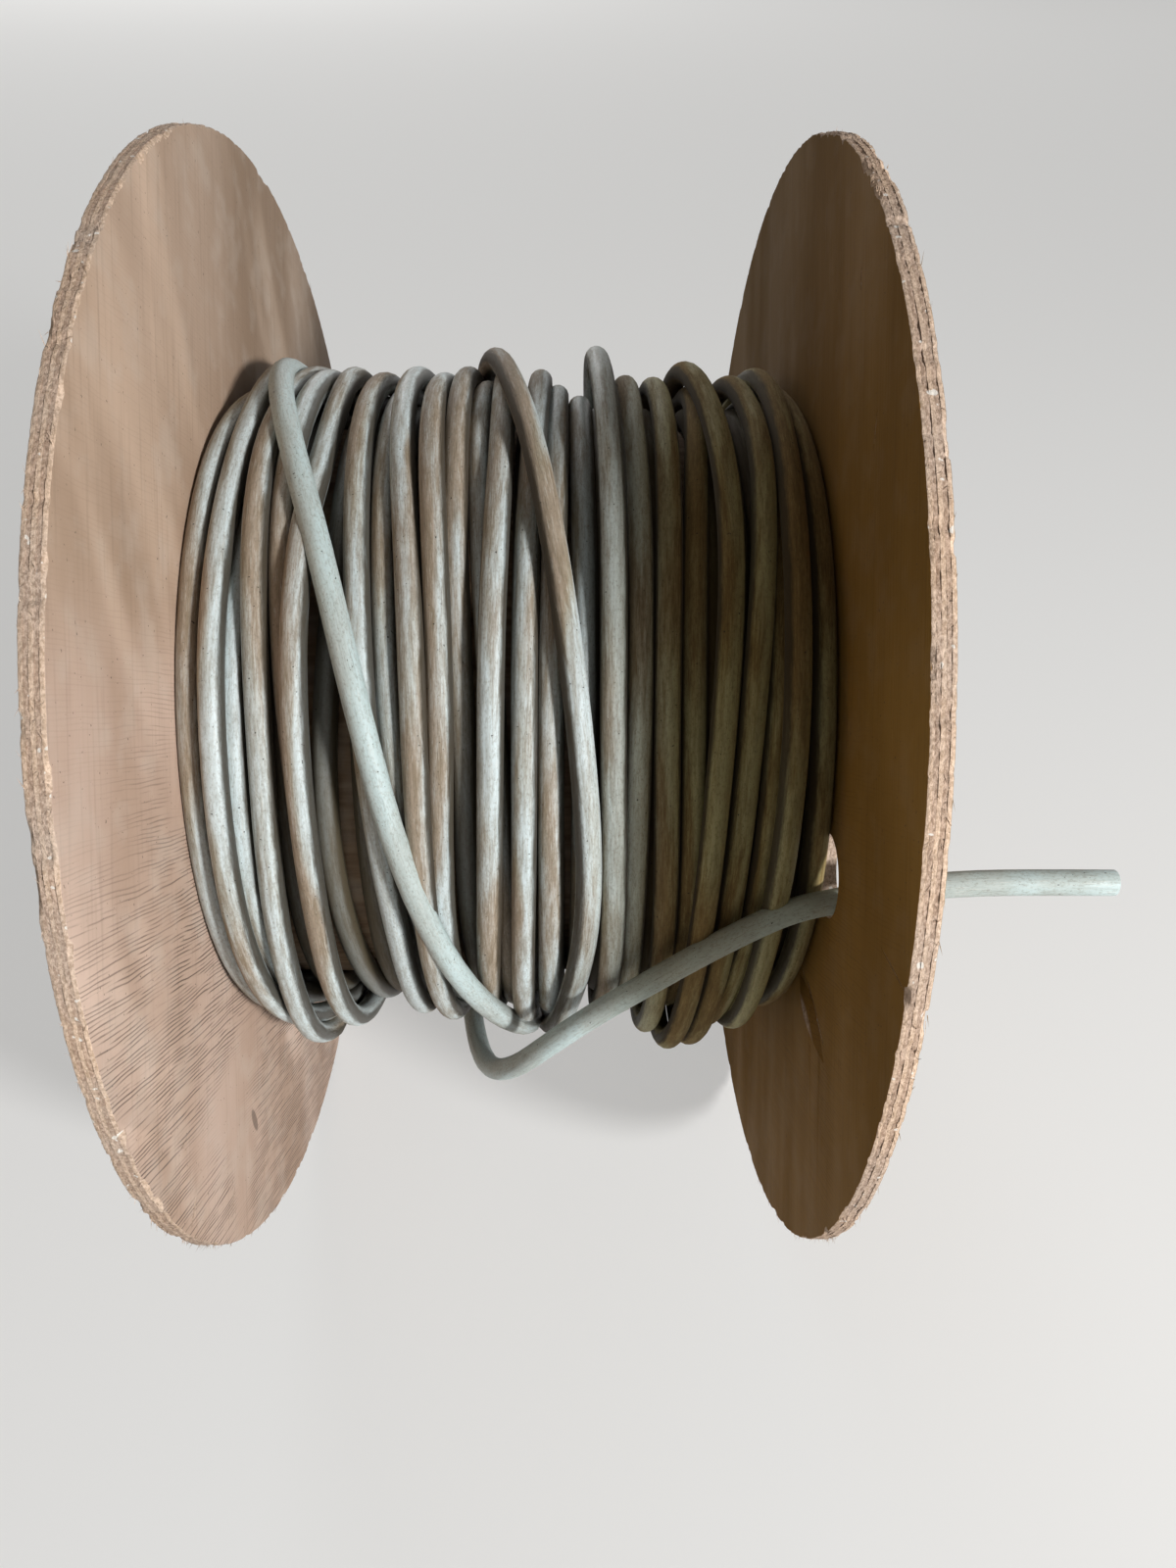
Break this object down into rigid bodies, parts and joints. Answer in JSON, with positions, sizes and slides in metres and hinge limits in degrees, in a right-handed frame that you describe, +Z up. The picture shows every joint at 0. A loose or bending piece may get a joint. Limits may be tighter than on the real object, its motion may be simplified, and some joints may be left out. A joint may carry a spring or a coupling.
{
  "type": "wooden cable drum",
  "caption": "Plywood cable drum lying on its flange rims, wound with grey round cable, its loose end led out through a hole in one flange.",
  "frame": {"origin": "on the floor, under the middle of the drum without its cable", "axes": "+X along the drum's axle towards the flange that the cable's end passes through, +Z up, -Y towards the side seen in the picture"},
  "size_m": [0.4476, 0.5999, 0.6],
  "materials": {
    "plywood": "dry, stained, rough-sawn rim",
    "barrel_board": "plain matt",
    "zinc_steel": "dull zinc",
    "cable_sheath": "dusty, dirt streaks"
  },
  "bodies": {
    "root": {"left_flange": "plywood", "right_flange": "plywood", "barrel_tube": "barrel_board", "tie_rod_1": "zinc_steel", "tie_rod_2": "zinc_steel", "tie_rod_3": "zinc_steel", "tie_rod_4": "zinc_steel", "left_washer_1": "zinc_steel", "left_washer_2": "zinc_steel", "left_washer_3": "zinc_steel", "left_washer_4": "zinc_steel", "right_washer_1": "zinc_steel", "right_washer_2": "zinc_steel", "right_washer_3": "zinc_steel", "right_washer_4": "zinc_steel", "left_nut_1": "zinc_steel", "left_nut_2": "zinc_steel", "left_nut_3": "zinc_steel", "left_nut_4": "zinc_steel", "right_nut_1": "zinc_steel", "right_nut_2": "zinc_steel", "right_nut_3": "zinc_steel", "right_nut_4": "zinc_steel", "cable_winding": "cable_sheath", "cable_loose_end": "cable_sheath"}
  },
  "joints": []
}
